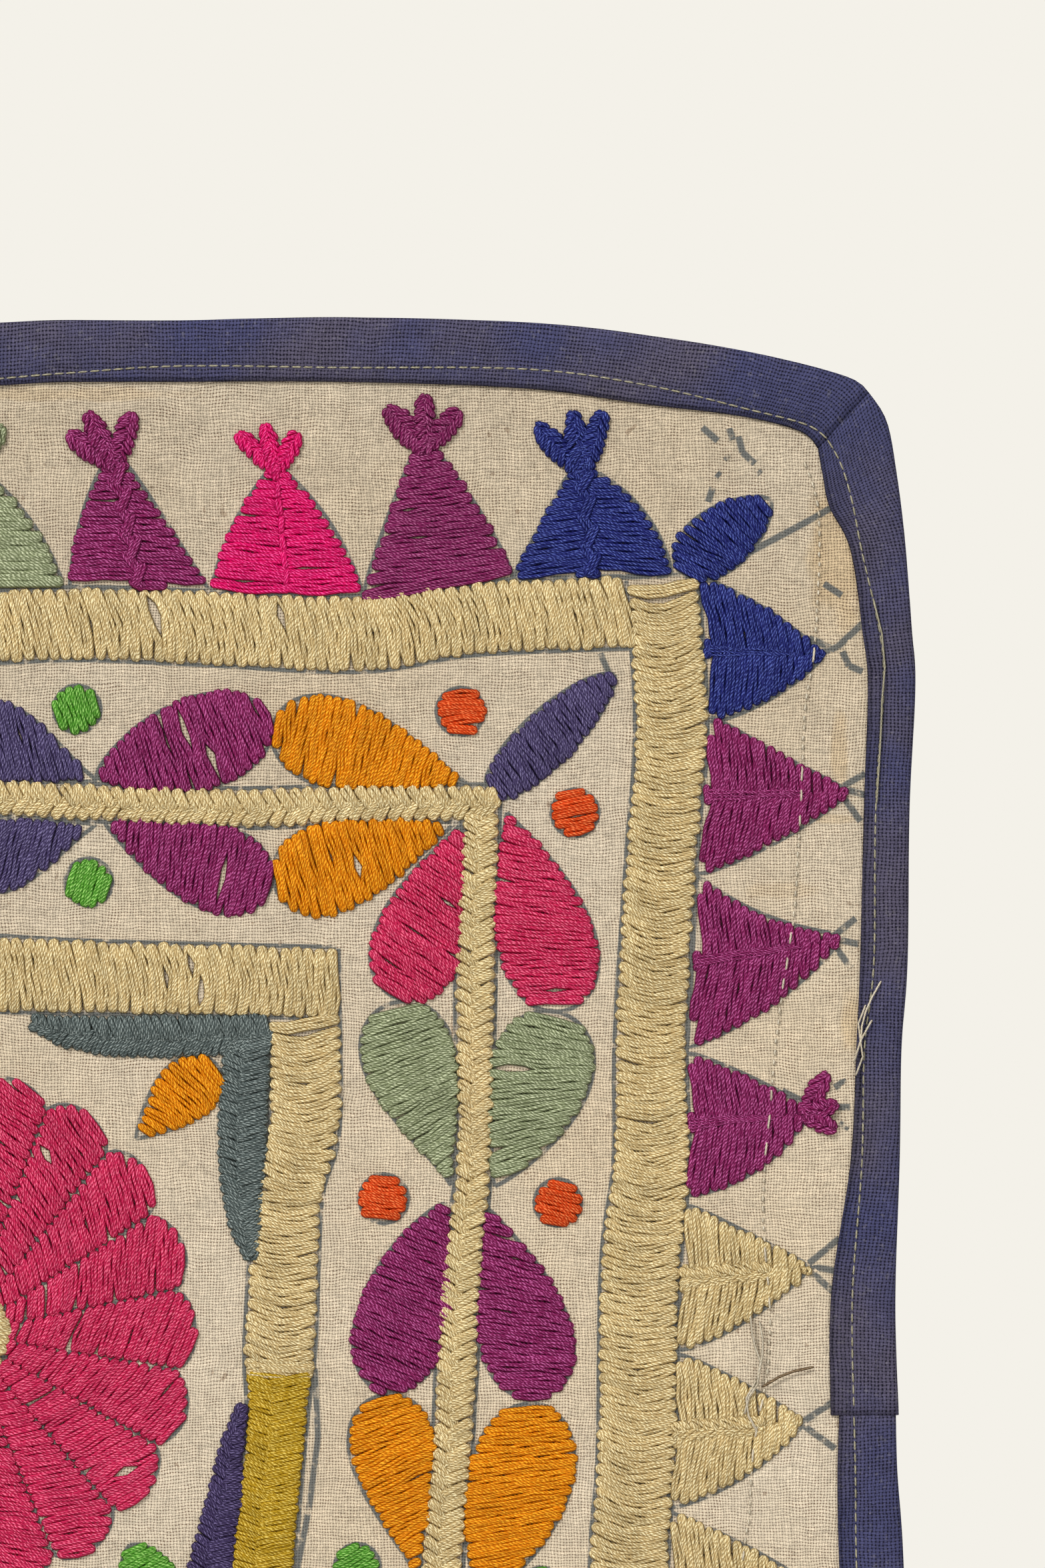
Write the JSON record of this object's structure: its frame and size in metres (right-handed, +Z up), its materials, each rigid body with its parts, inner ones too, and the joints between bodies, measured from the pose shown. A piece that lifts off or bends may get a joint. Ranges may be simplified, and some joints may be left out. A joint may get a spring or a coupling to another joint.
{
  "type": "embroidered wall hanging",
  "caption": "Near-square cotton wall hanging with wool-embroidered frames, leaf vine, triangles and central flower, bound in navy cotton.",
  "frame": {"origin": "middle of the top edge, where the hanging is held", "axes": "+X to the right seen from the front, +Z up along the longest side, and the embroidered front faces -Y"},
  "size_m": [0.3993, 0.0079, 0.4306],
  "materials": {
    "ground_cloth": "unbleached plain-weave cotton, covered in places by thick two-ply satin and fishbone stitches",
    "binding": "faded navy plain-weave cotton, folded and topstitched"
  },
  "bodies": {
    "root": {"ground_cloth": "ground_cloth", "binding_top": "binding", "binding_right_upper": "binding", "binding_right_lower": "binding", "binding_bottom": "binding", "binding_left": "binding"}
  },
  "joints": []
}
